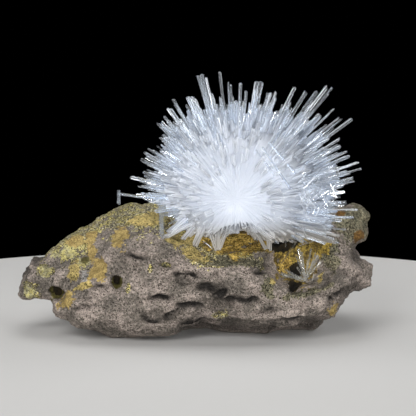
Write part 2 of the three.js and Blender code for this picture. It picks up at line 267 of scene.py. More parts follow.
# %% [markdown]
# ## The basalt: one closed skin
#
# The lump's solid is made of broad flat faces. A voxel remesh covers it with small even squares, and a
# few rounds of smoothing wear its edges down, as weather does. That gives a skin fine enough to be
# weathered further, and it keeps every hollow where the crystals expect it.

# %% Remesh the lump
VOXEL = 0.9 * MM
WEAR_ROUNDS = 5


def merged_copy(node, name):
    """A copy of a node's mesh as an object of its own, with its loose triangles joined up."""
    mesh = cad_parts[node].data.copy()
    mesh.materials.clear()
    shape = bmesh.new()
    shape.from_mesh(mesh)
    bmesh.ops.remove_doubles(shape, verts=shape.verts, dist=1e-6)
    shape.to_mesh(mesh)
    shape.free()
    mesh.name = name
    return add_object(name, mesh)


def settle(piece):
    """Turns a piece's modifiers into plain mesh."""
    bpy.context.view_layer.update()
    evaluated = piece.evaluated_get(bpy.context.evaluated_depsgraph_get())
    mesh = bpy.data.meshes.new_from_object(evaluated)
    piece.modifiers.clear()
    piece.data = mesh
    mesh.name = piece.name
    return mesh


rock = merged_copy("matrix_rock", "basalt_lump")
remesh = rock.modifiers.new("skin", "REMESH")
remesh.mode, remesh.voxel_size = "VOXEL", VOXEL
wear = rock.modifiers.new("wear", "SMOOTH")
wear.factor, wear.iterations = 0.5, WEAR_ROUNDS
settle(rock)
print(f"skin: {len(rock.data.vertices)} points, {len(rock.data.polygons)} squares")

# %% [markdown]
# ## Where each crust lies
#
# The stone isn't one colour. Yellow-green crust covers its top, smooth ochre clay fills old gas holes,
# the basin and the pocket are lined with golden clay, and the right end is grey-green with rusty spots.
# Each kind gets one number for each point of the skin: above zero inside its patches, below zero
# outside. The finish reads these numbers later and gives each patch a ragged edge.
# Some of these colours are painted light or shade: a near-black kind on deep holes, and clay and crust made
# lighter where the ball shades the basin.

# %% Patches
# Each patch is an ellipsoid: centre and half-sizes in millimetres, and its turn in the front view.
PATCHES = {
    "ochre": [
        ((-30.7, -21, 41.3), (3.4, 16, 5.0), 0),  # tongue under the cliff
        ((-39.4, -30.4, 29.4), (4.4, 9, 4.6), 35),  # three-cornered scar
        ((-49.8, -10, 37.4), (3.4, 7, 2.2), 10),
        ((-43.5, -9, 38.7), (2.7, 7, 3.0), 0),
        ((-43, -18.5, 34.7), (1.9, 7, 3.3), -10),
        ((-53, -33, 17.2), (2.6, 7, 4.6), -50),  # slab in the notch
        ((-31.2, -33, 21.0), (1.4, 4, 1.4), 0),  # lip of the gas hole
        ((57, -27.2, 11.5), (3.0, 6, 3.2), 0),  # lump at the lower right
    ],
    "straw": [
        ((-50.4, -28, 28.2), (2.5, 9, 4.3), -5),  # block beside the scar
        ((-46.3, -34, 22.8), (4.6, 6, 1.1), 22),
        ((-20, -10, 45.9), (5.6, 9, 2.2), 0),
        ((-6.0, -19, 38.8), (8.0, 11, 2.8), -20),  # basin's left corner, straw made lighter: partly painted light in the ball's shade
        ((0, -30.5, 36.2), (5.4, 6, 3.2), -20),  # basin's rim
        ((19, -27, 37.4), (7.5, 5, 1.5), 0),
        ((51.6, -20, 24.6), (0.9, 7, 2.6), -25),  # strip at the pocket's right
        ((31.8, -35, 25.6), (1.5, 6, 1.2), 15),
    ],
    "lime": [
        ((-54, -15, 33.6), (7.5, 8, 1.9), 10),
        ((-46, -24, 31), (3.4, 7, 1.8), 0),
        ((-62.2, -19.1, 27.6), (2.6, 6, 2.6), 0),  # round spot at the left
        ((-69, -18, 18.4), (3.6, 8, 2.6), -35),
        # partly painted light: a lighter band on the basin's rim, in the ball's shade
        ((20, -28.5, 35.0), (5, 6, 1.1), 0),
    ],
    "crust": [
        ((-62.3, -18.9, 28), (3.6, 6, 3.6), 0),
        ((-68.7, -18, 18.6), (5.2, 8, 3.6), -30),
        ((14, -30, 33.6), (20, 7, 3.6), 0),  # speckled sill
        ((-27.1, -38.7, 23.2), (1.0, 4, 2.2), 0),
        ((-17.9, -36.1, 30.6), (1.0, 4, 2.2), 0),
        ((-12.2, -35.5, 32.1), (2.2, 4, 0.9), 0),
        ((10.6, -33, 10.9), (3, 6, 2), 0),
    ],
    "moss": [
        ((69, -4, 46), (11, 16, 10.5), 0),  # right peak
        ((17, -30, 33.0), (11, 7, 2.4), 0),
        ((55.8, -18, 33), (3.6, 12, 6.5), 12),  # the pocket's right wall
        ((44, -34, 21), (11, 6, 2.2), 14),  # the pocket's sill
        ((29.6, -37, 23.6), (3.0, 5, 4.6), 0),
    ],
    "gold": [
        ((13, -8, 37.2), (19, 17, 4.5), 0),  # basin's back wall: golden clay, painted lighter in the ball's shade
        ((37.6, -15, 27.8), (3.4, 9, 3.6), -20),  # ramp in the pocket
    ],
    "rust": [
        ((70.5, -4, 50.4), (1.9, 8, 2.0), 0),
        ((67.8, -8, 39.1), (2.0, 6, 2.5), 0),
        ((60.4, -4, 49.6), (2.6, 7, 1.8), 0),
        ((60, 6, 53), (5, 7, 2), 0),
        ((-4, 20, 52), (7, 6, 3), 0),
    ],
    "olive": [
        ((-45.5, -21.4, 32.1), (1.7, 4, 1.8), 0),  # pit
        ((-30.7, -29, 24.3), (3.9, 8.5, 4.2), 0),  # gas hole
        ((-57.1, -17, 18.1), (3.4, 9, 3.8), -20),
    ],
    "pale": [
        ((-44.8, -31.7, 27.1), (1.9, 6, 3.2), 15),
    ],
}
print("patches:", {name: len(parts) for name, parts in PATCHES.items()})

# %% Clay, painted shade in hollows, and the cliff
CLAY = [  # everything inside these is lined with golden clay: centre and half-sizes
    ((20, -15, 58), (38, 40, 24)), ((42.5, -26, 32.5), (10.5, 22, 11.5)), ((48, -22, 38), (9, 16, 8)),
]
CLAY_STEEPNESS = 2.5  # the clay's edge is sharper than a patch's
PAINTED_SHADE_HOLLOWS = [  # painted shade: near-black colour on holes deep in the pocket and the front
    ((42.2, -14, 27.0), (2.8, 7, 2.2)), ((40.9, -21, 22.2), (3.2, 8, 1.3)),
    ((36.8, -14, 37.2), (6.6, 14, 3.2)), ((-32.2, -24, 26), (3.2, 8, 2.8)),
    ((-57.0, -15, 18.8), (2.3, 8, 2.8)),
]
CLIFF = [  # x, and the height above which crust covers the stone
    (-80, 36), (-66, 33.5), (-58, 31.5), (-50, 31), (-46, 33), (-41.5, 38), (-38, 42.3), (-27, 43.2),
    (-20, 43.4), (-14.5, 42.4), (-8, 39.5), (-4, 35.2), (0, 33.2), (6, 33.8), (14, 34.8), (22.6, 36),
    (36, 37), (50, 60), (80, 70),
]
CLIFF_BLUR = 12  # millimetres over which the crust sets in
print(f"clay in {len(CLAY)} places, {len(PAINTED_SHADE_HOLLOWS)} dark hollows")

# %% Fields on the skin
def inside(points, centre, half, turn=0.0):
    """How far inside an ellipsoid each point lies: 1 at its centre, 0 on it, negative outside."""
    way = points - np.array(centre)
    cos, sin = math.cos(math.radians(turn)), math.sin(math.radians(turn))
    along = way[:, 0] * cos + way[:, 2] * sin
    across = way[:, 2] * cos - way[:, 0] * sin
    return 1 - np.sqrt((along / half[0]) ** 2 + (way[:, 1] / half[1]) ** 2 + (across / half[2]) ** 2)


def points_of(mesh):
    """A mesh's points in millimetres."""
    flat = np.empty(len(mesh.vertices) * 3, np.float32)
    mesh.vertices.foreach_get("co", flat)
    return flat.reshape(-1, 3) / MM


def store(mesh, name, values, kind="FLOAT"):
    """Keeps a number, or a vector, for each point of a mesh."""
    attribute = mesh.attributes.new(name, kind, "POINT")
    field = "vector" if kind == "FLOAT_VECTOR" else "value"
    attribute.data.foreach_set(field, np.asarray(values, np.float32).ravel())


skin = points_of(rock.data)
kinds = PATCHES | {"clay": CLAY, "hollow": PAINTED_SHADE_HOLLOWS}
fields = {name: np.max([inside(skin, *part) for part in parts], axis=0) for name, parts in kinds.items()}
fields["clay"] *= CLAY_STEEPNESS
above_cliff = (skin[:, 2] - np.interp(skin[:, 0], *zip(*CLIFF))) / CLIFF_BLUR
fields["crust"] = np.maximum(fields["crust"], np.clip(above_cliff, -1, 1))
for name, values in fields.items():
    store(rock.data, name, values)
    print(f"{name}: {np.mean(values > 0):.0%} of the skin")

# %% [markdown]
# ## Ledges
#
# Weather has cut slots back under the harder layers at the front. Each is a short groove, deepest in
# the middle, along a line that dips a little. The depth of all the grooves together is stored on the
# skin too, so that the weathering tree can cut them.

# %% Ledges
# Middle (x, z), length, height and depth in millimetres, and dip to the right in degrees.
LEDGES = [
    ((-3.5, 28.4), 13, 1.4, 4.0, 7),
    ((4.9, 24.2), 11, 1.1, 3.4, 6),
    ((10.4, 21.8), 7, 1.8, 4.0, 12),
    ((12.5, 18.2), 11, 2.0, 4.6, 4),
    ((20, 17.4), 15, 1.1, 3.2, -3),
    ((-13.8, 19.4), 12, 1.1, 3.3, 3),
    ((-2, 15.4), 15, 1.5, 4.0, 4),
    ((-9, 12.3), 9, 1.0, 2.8, -14),
    ((-17.9, 10.6), 11, 0.8, 2.6, 5),
    ((-23.9, 36), 12, 1.3, 2.6, 14),
    ((-11.4, 32.5), 9, 0.8, 1.6, 2),
    ((-23.3, 4.6), 14, 0.8, 2.0, -3),
    ((-39, 23.6), 10, 0.7, 2.2, -4),
    ((26.9, 31.0), 9, 1.3, 2.4, -20),
    ((41, 9.8), 13, 1.5, 3.4, -4),
    ((60.5, 20.4), 10, 1.6, 3.6, -16),
    ((56.3, 17.0), 5, 1.4, 3.0, 35),
    ((0.4, 8.2), 16, 1.5, 3.0, 4),
    ((30, 14), 12, 0.8, 1.6, -8),
    ((-45, 15.5), 14, 0.8, 1.5, -14),
    ((67, 25), 7, 0.9, 1.8, -25),
    ((62, 28), 7, 0.8, 1.5, 10),
    ((41.6, 26.6), 6, 1.6, 2.6, 20),
    ((40.9, 22.2), 7, 1.0, 2.2, -10),
]
LEDGE_WAVE, WAVE_RATE = 0.4, 0.8  # how far a groove's line wanders, in millimetres, and how fast
ROOF, SILL = 0.6, 1.5  # a groove is sharper above its line than below it, as an undercut is
FRONT, FRONT_FADE = -9, 6  # grooves are cut in front of this, and set in over this much


def groove_depth(points, middle, length, height, depth, dip):
    cos, sin = math.cos(math.radians(dip)), math.sin(math.radians(dip))
    x, z = points[:, 0] - middle[0], points[:, 2] - middle[1]
    along = x * cos - z * sin
    across = z * cos + x * sin + LEDGE_WAVE * np.sin(along * WAVE_RATE + middle[0])
    ends = np.clip(1 - (2 * along / length) ** 2, 0, 1)
    side = np.where(across > 0, ROOF, SILL)
    return depth * ends * np.exp(-((across / (height * side)) ** 2))


grooves = np.max([groove_depth(skin, *ledge) for ledge in LEDGES], axis=0)
grooves *= np.clip((FRONT - skin[:, 1]) / FRONT_FADE, 0, 1)
# painted shade: the finish darkens each slot by this depth
store(rock.data, "slot", grooves)
print(f"{len(LEDGES)} ledges, up to {grooves.max():.1f} mm deep")

# %% [markdown]
# ## Corners
#
# A worn lump still has corners. Dents and bosses, each about as wide as a fingertip, give its outline
# back what the smoothing took, and the basin's back wall stands up a little behind the ball. They join
# the same stored depth as the grooves, so that one tree cuts them all.

# %% Dents, bosses and the basin's wall
SHAPING = [  # middle (x, z), half-width, and push in millimetres, outward if positive
    ((-66.5, 33.5), 4.2, -3.4), ((-73, 29.5), 4.5, -3.6), ((-69, 29.6), 1.6, 1.6), ((-75, 21), 5.0, -1.6),
    ((-59, 9), 5.0, 1.6), ((-50, 3), 8.0, 1.8), ((-54, 40), 8.0, 1.2), ((-43, 43), 7.0, 1.4),
    ((-19, 48), 9.0, 1.8), ((-33, 47), 5.0, -0.4),
    ((69, 33.6), 3.8, -3.2), ((70, 40), 4.0, 2.6), ((71, 49), 5.5, 3.0), ((75, 31), 3.0, -1.4),
    ((75, 26), 4.0, 0.6), ((67, 18.5), 4.5, -3.2), ((62, 12), 6.0, -2.2), ((55, 3), 8.0, -2.2),
    ((0, 2), 8.0, -3.4), ((15, 1), 8.0, -2.6), ((30, 1), 9.0, -2.4), ((45, 2), 7.0, -2.4),
    ((58, 11), 3.6, 1.6),
]
PUSH_SPREAD = 1.5  # a push fades out at this many half-widths
WALL = (-3, 30), (-21, -9), (33, 42), 5.5  # the basin's back wall: x, y and z, and how proud it is
WALL_EDGE = 4  # its ends rise over twice this much
WALL_BACK = 10, 30  # it falls away again between these, to the back


def smooth(values, low, high):
    share = np.clip((values - low) / (high - low), 0, 1)
    return share * share * (3 - 2 * share)


def wall(points):
    (left, right), (front, back), (low, high), rise = WALL
    x, y, z = points.T
    left_end = smooth(x, left - WALL_EDGE, left + WALL_EDGE)
    wide = left_end * smooth(-x, -right - WALL_EDGE, -right + WALL_EDGE)
    deep = smooth(y, front, back) * smooth(-y, -WALL_BACK[1], -WALL_BACK[0])
    return rise * wide * deep * ((z > low) & (z < high))


def push(points, middle, width, depth):
    away = np.hypot(points[:, 0] - middle[0], points[:, 2] - middle[1]) / (PUSH_SPREAD * width)
    return depth * np.clip(1 - away**2, 0, 1) ** 2


grooves -= sum(push(skin, *shape) for shape in SHAPING) + wall(skin)
store(rock.data, "groove", grooves * MM)
print(f"{len(SHAPING)} dents and bosses, and a wall {WALL[-1]} mm proud")

# %% [markdown]
# ## Weathering in a geometry tree
#
# The rest of the stone's relief follows a rule, so a Geometry Nodes tree makes it: swellings as wide as
# a thumbnail, thin beds that wander along the lump, small knobs, and pits where gas holes have opened.
# The tree moves each point along its normal. It leaves the foot flat, because the lump rests on it, and
# it keeps the relief as a number, which the finish uses to paint shade into what lies deep.

# %% Weathering tree
NOISE_MIDDLE = 0.52  # noise below this dents the skin, and noise above it swells it
FOOT_BLEND = 3 * MM  # height over which the relief sets in above the foot


def weathering_tree():
    sizes = [
        ("Swell Size", "Float", 9 * MM), ("Swell Height", "Float", 2.0 * MM),
        ("Bed Size", "Float", 5 * MM), ("Bed Height", "Float", 1.5 * MM),
        ("Knob Size", "Float", 2.6 * MM), ("Knob Height", "Float", 0.9 * MM),
        ("Pit Size", "Float", 5 * MM), ("Pit Depth", "Float", 1.0 * MM), ("Foot", "Float", 0.4 * MM),
    ]
    body = [("Geometry", "Geometry")]
    graph, start, end = new_group("weathering", "GeometryNodeTree", body + sizes, body)
    given = start.outputs
    where = graph.node("GeometryNodeInputPosition").outputs[0]

    def layer(name, stretch=(1, 1, 1)):
        """Lumps of the size and height that the tree's inputs give them."""
        cell = given[name + " Size"]
        place = graph.vector("DIVIDE", where, graph.xyz(cell, cell, cell))
        lumps = graph.noise(graph.vector("MULTIPLY", place, stretch), detail=3.0)
        return graph.times(graph.minus(lumps, NOISE_MIDDLE), graph.times(given[name + " Height"], 2.0))

    swell, beds, knobs = layer("Swell"), layer("Bed", (0.45, 0.45, 1.9)), layer("Knob", (0.8, 0.8, 1.2))
    near = graph.cells(graph.vector("SCALE", where, graph.math("DIVIDE", 1.0, given["Pit Size"])), "Distance")
    pits = graph.times(graph.ramp(near, 0.28, 0.08), given["Pit Depth"])
    lined = graph.ramp(graph.stored("clay"), -0.1, 0.3, 1.0, 0.45)  # clay hides some of the relief
    filled = graph.ramp(graph.stored("ochre"), -0.1, 0.25, 1.0, 0.15)  # and ochre nearly all
    rough = graph.times(graph.plus(graph.plus(swell, beds), knobs), graph.times(lined, filled))
    deep = graph.plus(graph.stored("groove"), graph.times(pits, filled))
    free = graph.ramp(graph.height(where), given["Foot"], graph.plus(given["Foot"], FOOT_BLEND))
    out = graph.times(graph.minus(rough, deep), free)
    offset = graph.vector("SCALE", graph.node("GeometryNodeInputNormal").outputs[0], out)
    moved = graph.node("GeometryNodeSetPosition", {"Geometry": given["Geometry"], "Offset": offset})
    relief = {"Geometry": moved.outputs[0], "Name": "relief", "Value": graph.math("DIVIDE", out, 2 * MM)}
    kept = graph.node("GeometryNodeStoreNamedAttribute", relief, data_type="FLOAT", domain="POINT")
    graph.fill(end, {0: kept.outputs[0]})
    return graph.tree


weathering = rock.modifiers.new("weathering", "NODES")
weathering.node_group = weathering_tree()
settle(rock)
skin = points_of(rock.data)
flat = skin.copy()
flat[:, 2] = np.maximum(skin[:, 2], 0)  # nothing below the floor
rock.data.vertices.foreach_set("co", (flat * MM).astype(np.float32).ravel())
rock.data.update()
print("lump, millimetres:", flat.min(0).round(1), "to", flat.max(0).round(1))

# %% [markdown]
# ## A grain that every stone finish shares
#
# Up close the stone is a mix of grains: pale feldspar, dark pores and everything between, most of them
# under a millimetre. The basalt, the crusts and the clays all have it, only finer or coarser, so it is
# one shader group: it takes a size, a contrast and a share of pores, and gives a lightness, a mask of
# the pores and a height.

# %% Grain group
def grain_group():
    inputs = [
        ("Vector", "Vector"), ("Grain Size", "Float", 0.5 * MM), ("Contrast", "Float", 0.5),
        ("Pores", "Float", 0.3),
    ]
    outputs = [("Lightness", "Float"), ("Pore", "Float"), ("Height", "Float")]
    graph, start, end = new_group("mineral_grain", "ShaderNodeTree", inputs, outputs)
    given = start.outputs
    place = graph.vector("SCALE", given["Vector"], graph.math("DIVIDE", 1.0, given["Grain Size"]))
    wobble = graph.vector("SCALE", graph.noise(place, 1.7, 1.0, "Color"), 0.7)
    grain = graph.cells(graph.vector("ADD", place, wobble))
    tone = graph.node("ShaderNodeSeparateColor", {0: grain}).outputs[0]
    soft = graph.noise(place, 0.45, 3.0)
    mixed = graph.plus(graph.times(tone, 0.6), graph.times(soft, 0.8))  # hard grains and soft lumps
    light = graph.times(graph.minus(mixed, 0.7), given["Contrast"])  # 0.7 is the mix's own middle
    bar = graph.minus(0.74, graph.times(given["Pores"], 0.3))  # the more pores, the lower the bar
    pore = graph.ramp(graph.minus(graph.noise(place, 0.9), bar), 0.0, 0.05)
    height = graph.minus(mixed, graph.times(pore, 1.2))
    graph.fill(end, {"Lightness": light, "Pore": pore, "Height": height})
    return graph.tree


GRAIN = grain_group()
print("grain group:", [item.name for item in GRAIN.interface.items_tree])

# %% [markdown]
# ## Ragged patches
#
# A crust never ends on a clean line. This second group takes a patch's stored number, shakes it with
# noise at two sizes, and cuts it at zero: what comes out is a mask with islands and bays along its edge.

# %% Patch group
def patch_group():
    inputs = [("Vector", "Vector"), ("Field", "Float"), ("Raggedness", "Float", 0.5), ("Edge", "Float", 0.06)]
    graph, start, end = new_group("ragged_patch", "ShaderNodeTree", inputs, [("Mask", "Float")])
    given = start.outputs
    coarse = graph.noise(given["Vector"], 1 / (4.5 * MM), 3.0)
    fine = graph.noise(given["Vector"], 1 / (1.1 * MM))
    shake = graph.plus(graph.times(coarse, 0.65), graph.times(fine, 0.35))
    shake = graph.times(graph.minus(shake, 0.5), graph.times(given["Raggedness"], 3.0))
    edge = graph.plus(given["Field"], shake)
    graph.fill(end, {"Mask": graph.ramp(edge, graph.times(given["Edge"], -1.0), given["Edge"])})
    return graph.tree


PATCH = patch_group()
print("patch group made")

# %% [markdown]
# ## The stone's finish
#
# The finish is built up as the stone was: brown-grey basalt first, pinkish in places, then the crusts
# and clays on it, each with its own grain, and last a painted shade over holes, slots and what lies deep.
# Colour, roughness and bump all come from the same masks, so a smooth clay patch is smooth in all three.

# %% Stone material
BASALT = ("787067", "978b82", 0.5, 1.3, 0.55)  # colour, second colour, grain in mm, contrast, pores
CRUSTS = {  # the same five, and raggedness
    "pale": ("a9a5a0", "8d8883", 0.5, 1.2, 0.5, 1.2),
    "crust": ("b9b197", "d6c980", 0.5, 2.1, 0.86, 0.9),
    "moss": ("6c6955", "857e66", 0.5, 1.4, 0.75, 1.1),
    "lime": ("a9a37d", "bfb576", 0.5, 1.1, 0.6, 1.3),
    "clay": ("a0893f", "5a4a24", 0.6, 0.9, 0.6, 0.7),
    # gold is golden clay, painted lighter than clay where the ball shades the basin
    "gold": ("cfb05c", "8a7033", 0.6, 0.9, 0.6, 1.2),
    "ochre": ("8f7a48", "b09a60", 0.5, 0.9, 0.4, 1.0),
    "straw": ("a3925b", "bda869", 0.5, 1.0, 0.6, 1.2),
    "rust": ("5e4520", "705228", 0.5, 0.8, 0.5, 0.8),
    "olive": ("4a4420", "666032", 0.6, 0.5, 0.3, 0.5),
    # painted shade, not a crust: near-black colour on the deep holes
    "hollow": ("191407", "261e0c", 0.6, 0.4, 0.3, 0.6),
}
BASALT_BLOTCH, CRUST_BLOTCH = 9 * MM, 3 * MM  # how wide the spots of the second colour are
PORE_TINT = (0.13, 0.12, 0.10, 1)  # what is left of the colour in a pore


def grained(graph, where, blotch, main, second, grain_mm, contrast, pores):
    """A colour with its grain, and the height of the grain."""
    size = grain_mm * MM
    grain = graph.group(GRAIN, {"Vector": where, "Grain Size": size, "Contrast": contrast, "Pores": pores})
    wide = graph.times(graph.noise(where, 1 / blotch, 3.0), 1.2)
    shade = graph.plus(wide, graph.noise(where, 1 / (1.7 * size)))
    base = graph.mix(graph.ramp(shade, 0.98, 1.22), colour(main), colour(second))
    lit = graph.shaded(base, graph.plus(grain["Lightness"], 1.0))
    dark = graph.mix(1.0, base, PORE_TINT, "MULTIPLY")
    return graph.mix(grain["Pore"], lit, dark), grain["Height"]


def stone_material():
    material, graph, shader = new_material("weathered_basalt")
    where = graph.node("ShaderNodeTexCoord").outputs["Object"]
    tint, height = grained(graph, where, BASALT_BLOTCH, *BASALT)
    for name, (main, second, grain_mm, contrast, pores, ragged) in CRUSTS.items():
        patch = graph.group(PATCH, {"Vector": where, "Field": graph.attribute(name), "Raggedness": ragged})
        crust, crust_height = grained(graph, where, CRUST_BLOTCH, main, second, grain_mm, contrast, pores)
        tint = graph.mix(patch["Mask"], tint, crust)
        heights = {0: patch["Mask"], 2: height, 3: graph.times(crust_height, contrast)}
        height = graph.node("ShaderNodeMix", heights, data_type="FLOAT").outputs[0]
    # painted shade: the colour is darkened where the relief lies deep
    hollow = graph.ramp(graph.attribute("relief"), -1.2, 0.3, 0.4, 1.0)
    slot = graph.ramp(graph.attribute("slot"), 1.0, 2.6, 1.0, 0.22)  # painted shade in the ledge slots, the darkest of all
    graph.fill(shader, {
        "Base Color": graph.shaded(tint, graph.times(hollow, slot)),
        "Roughness": graph.ramp(height, 0.0, 1.2, 0.95, 0.78),
        "Normal": graph.bump(height, 0.9, 0.35 * MM),
        "Specular IOR Level": 0.3,
    })
    return material


rock.data.materials.append(stone_material())
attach(rock, BODY)
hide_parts("matrix_rock")
print("the lump is finished:", len(rock.data.polygons), "squares")

# %% [markdown]
# ## Crystals: five ways for a prism to end
#
# A scolecite crystal is a square prism, often drawn out into a needle. Few end in the neat low pyramid
# of the textbook: most are chisels, slanted breaks or steps where two have grown side by side. Five
# small shapes, each one unit long and one unit wide, stand for all of them. Their long edges are cut
# off a little, because those narrow faces are what flashes when the light comes from the side. Their
# names start with a letter, because a geometry tree counts a collection's objects by name.

# %% Crystal shapes
CHAMFER = 0.13  # of the width, cut off each long edge
ROOT = 0.74  # width at the root for the width at the tip
TIP = 0.016  # the tip's share of the length


def square(half_x=0.5, half_y=0.5, middle=0.0):
    """The outline of a prism with its edges cut off, anticlockwise."""
    cut = CHAMFER * 2 * min(half_x, half_y)
    corner = [(half_x, half_y - cut), (half_x - cut, half_y), (cut - half_x, half_y), (-half_x, half_y - cut)]
    corner += [(-x, -y) for x, y in corner]
    return [(x + middle, y) for x, y in corner]


def add_prism(shape, outline, top, peak):
    """Adds a closed prism to a bmesh. top gives the height of its shoulder at a place in its outline."""
    middle = sum(x for x, _ in outline) / len(outline)
    low = [shape.verts.new((x * ROOT, y * ROOT, 0)) for x, y in outline]
    high = [shape.verts.new((x, y, top(x, y))) for x, y in outline]
    tip = shape.verts.new((middle + peak[0], peak[1], peak[2]))
    shape.faces.new(low[::-1])
    for i, (a, b) in enumerate(zip(low, low[1:] + low[:1])):
        c, d = high[(i + 1) % len(high)], high[i]
        shape.faces.new((a, b, c, d))
        shape.faces.new((d, c, tip))


SHAPES = {
    "a_pyramid": [(square(), lambda x, y: 1 - TIP, (0, 0, 1))],
    "b_leaning": [(square(), lambda x, y: 1 - TIP * (1 - 0.6 * x), (0.22, 0.1, 1))],
    "c_chisel": [(square(), lambda x, y: 1 - 1.6 * TIP * abs(x), (0, 0, 1))],
    "d_slant": [(square(0.5, 0.4), lambda x, y: 1 - TIP * (x + 0.5), (0, 0, 1 - TIP / 2))],
    "e_twin": [
        (square(0.28, 0.5, -0.22), lambda x, y: 1 - TIP * (y + 0.5), (0, 0, 1 - TIP / 2)),
        (square(0.26, 0.42, 0.25), lambda x, y: 0.93 + TIP * y, (0, 0, 0.935)),
    ],
}


def crystal_shapes():
    """The shapes as objects in a collection, which a geometry tree can pick from by number."""
    shapes = bpy.data.collections.new("crystal_shapes")
    for name, prisms in SHAPES.items():
        shape = bmesh.new()
        for prism in prisms:
            add_prism(shape, *prism)
        mesh = bpy.data.meshes.new(name)
        shape.to_mesh(mesh)
        shape.free()
        store(mesh, "across", [vert.co for vert in mesh.vertices], "FLOAT_VECTOR")
        shapes.objects.link(bpy.data.objects.new(name, mesh))
        print(name, len(mesh.polygons), "faces")
    return shapes


shapes = crystal_shapes()

# %% [markdown]
# ## Where crystals may grow
#
# No crystal grows through stone. Before one is placed, rays along its sides look for the lump, and the
# crystal ends just short of it, or is left out where there is no room. The same test gives the ball its
# short underside, because down there the basin is near.

# %% Room for a crystal
HEART = Vector((17, 0, 52))  # the middle of the seam that the ball grew from, in millimetres
SEAM = Vector((0, -1, 0.18)).normalized()  # the seam runs to the front, and rises a little
SEAT = 0.25  # between a crystal and the stone
SHORTEST = 3.0  # a crystal with less room than this is left out
PROBES = (0, 0), (1, 0), (-1, 0), (0, 1), (0, -1)  # a crystal's middle line and its four sides

stone = BVHTree.FromPolygons(
    [Vector(point) for point in points_of(rock.data)], [tuple(face.vertices) for face in rock.data.polygons])


def side_ways(way, turn=0.0):
    """Two directions across a crystal, at right angles to it and to each other."""
    up = Vector((0, 0, 1)) if abs(way.z) < 0.95 else Vector((1, 0, 0))
    across = way.cross(up).normalized()
    other = way.cross(across)
    return across * math.cos(turn) + other * math.sin(turn), other * math.cos(turn) - across * math.sin(turn)


def room(start, way, length, width):
    """How long a crystal can be from start before any of its sides meets the stone."""
    across, other = side_ways(way)
    for u, v in PROBES if width else PROBES[:1]:
        edge = start + (across * u + other * v) * (width / 2 + SEAT)
        met = stone.ray_cast(edge, way, length + SEAT)
        if met[0] is not None:
            length = min(length, met[3] - SEAT)
    return length


def aim(tilt, lean):
    """A direction from an angle off upright, positive to the right, and a lean to the front, in degrees."""
    tilt, lean = math.radians(tilt), math.radians(lean)
    return Vector((math.sin(tilt) * math.cos(lean), -math.sin(lean), math.cos(tilt) * math.cos(lean)))


print("room straight down from the heart:", round(room(HEART, Vector((0, 0, -1)), 60, 1), 1), "mm")

# %% [markdown]
# ## How far the ball reaches
#
# From the front the ball isn't round: its crystals are longest to the upper right and shortest at the
# left. The envelope gives that reach for each angle off upright. Crystals that lean to the front or the
# back are of more even length, so the two are blended.

# %% Envelope
ENVELOPE = [  # angle off upright in degrees, and reach in millimetres
    (-180, 30), (-130, 28), (-104, 28), (-94, 33), (-84, 42), (-60, 44), (-42, 47), (-24, 49),
    (-5, 48), (12, 49), (28, 52), (42, 56), (56, 52), (70, 51), (86, 48), (100, 47), (112, 45),
    (140, 38), (180, 32),
]
DEEP_REACH = 47  # of crystals that point to the front or the back
HALF_DEPTH = 49.8  # nothing reaches further to the front or the back
HEM = [  # x, height of the lower edge
    (-15, 38.0), (0, 39.0), (8, 39.2), (13, 40.7), (18, 42.2), (25, 42.2), (28, 39.5), (33, 37.4),
    (42, 36.7), (62, 36.5),
]
HEM_FRONT, HEM_BACK = -0.15, -0.8  # the edge's slope: it rises a little to the front and falls to the back
HEM_PLAY = 1.5  # crystals end up to this much above or below it


def envelope(way):
    tilt = math.degrees(math.atan2(way.x, way.z))
    flat_reach = float(np.interp(tilt, *zip(*ENVELOPE)))
    deep = way.y**2
    return flat_reach * (1 - deep) + DEEP_REACH * deep


def capped(start, way, length, drop=0.0):
    """A length that keeps a crystal's tip inside the ball's depth, and above its hem."""
    if abs(way.y) > 1e-6:
        length = min(length, (HALF_DEPTH - math.copysign(1, way.y) * start.y) / abs(way.y))
    slope = HEM_FRONT if way.y < 0 else HEM_BACK
    hem = float(np.interp((start + way * length).x, *zip(*HEM))) - drop
    fall = way.z - slope * way.y
    above = start.z - slope * start.y - hem
    return min(length, above / -fall) if fall < 0 and above > 0 else length


for tilt in (-90, -45, 0, 45, 90):
    print(f"reach at {tilt}: {envelope(aim(tilt, 0)):.0f} mm")

# %% [markdown]
# ## The plan of the ball
#
# Crystals grow in bundles: a few prisms side by side, parallel, with their faces turned alike and their
# ends at different heights. So the plan spreads more than three thousand bundles evenly over the ball,
# along a golden spiral, and gives each its members. Three layers overlap: milky ones at the heart, hazy
# ones round them, and clear ones that reach the outside.
#
# The ball grew from a short seam that runs from front to back, not from one point. That is why the
# crystals on its front lie flatter than a hedgehog's: they show their sides to the eye, as long streaks.

# %% Bundles
ROOT_DEPTH = 0.7  # of a tip's distance along the seam, where its crystal leaves it
LAYERS = {  # bundles, share of the reach, width in millimetres, members, share kept at the very front
    "milky": (1300, (0.76, 0.90), (0.6, 1.0), (3, 4, 5), 0.8),
    "hazy": (1100, (0.80, 0.95), (0.5, 0.9), (2, 3, 4, 5), 0.0),
    "clear": (1200, (0.88, 1.05), (0.5, 1.2), (1, 2, 3, 4), 0.0),
}
BARE = 0.93  # cosine off the seam's front end, where the crystals are too packed to tell apart
THINNING = 1.4  # how fast a layer thins out towards there
JITTER = 0.03  # how far a bundle stands off the spiral, for the ball's radius
HIDDEN = 0.25  # share of a crystal that is left out at the seam, inside the milky heart
STEPS = 0.86, 1.0  # lengths in one bundle, for the longest
SPACING, WIDTHS = (0.9, 1.1), (0.8, 1.1)  # distances and widths in one bundle, for its width
FLATNESS = 0.55, 1.0  # a prism's depth for its width
SHAPE_PICKS = 0, 1, 2, 2, 3, 3, 3, 4, 4  # numbers of the shapes, the commoner ones more than once
GOLDEN = math.pi * (3 - math.sqrt(5))
Crystal = namedtuple("Crystal", "start way length width depth turn shape shade")
rng = random.Random(11)
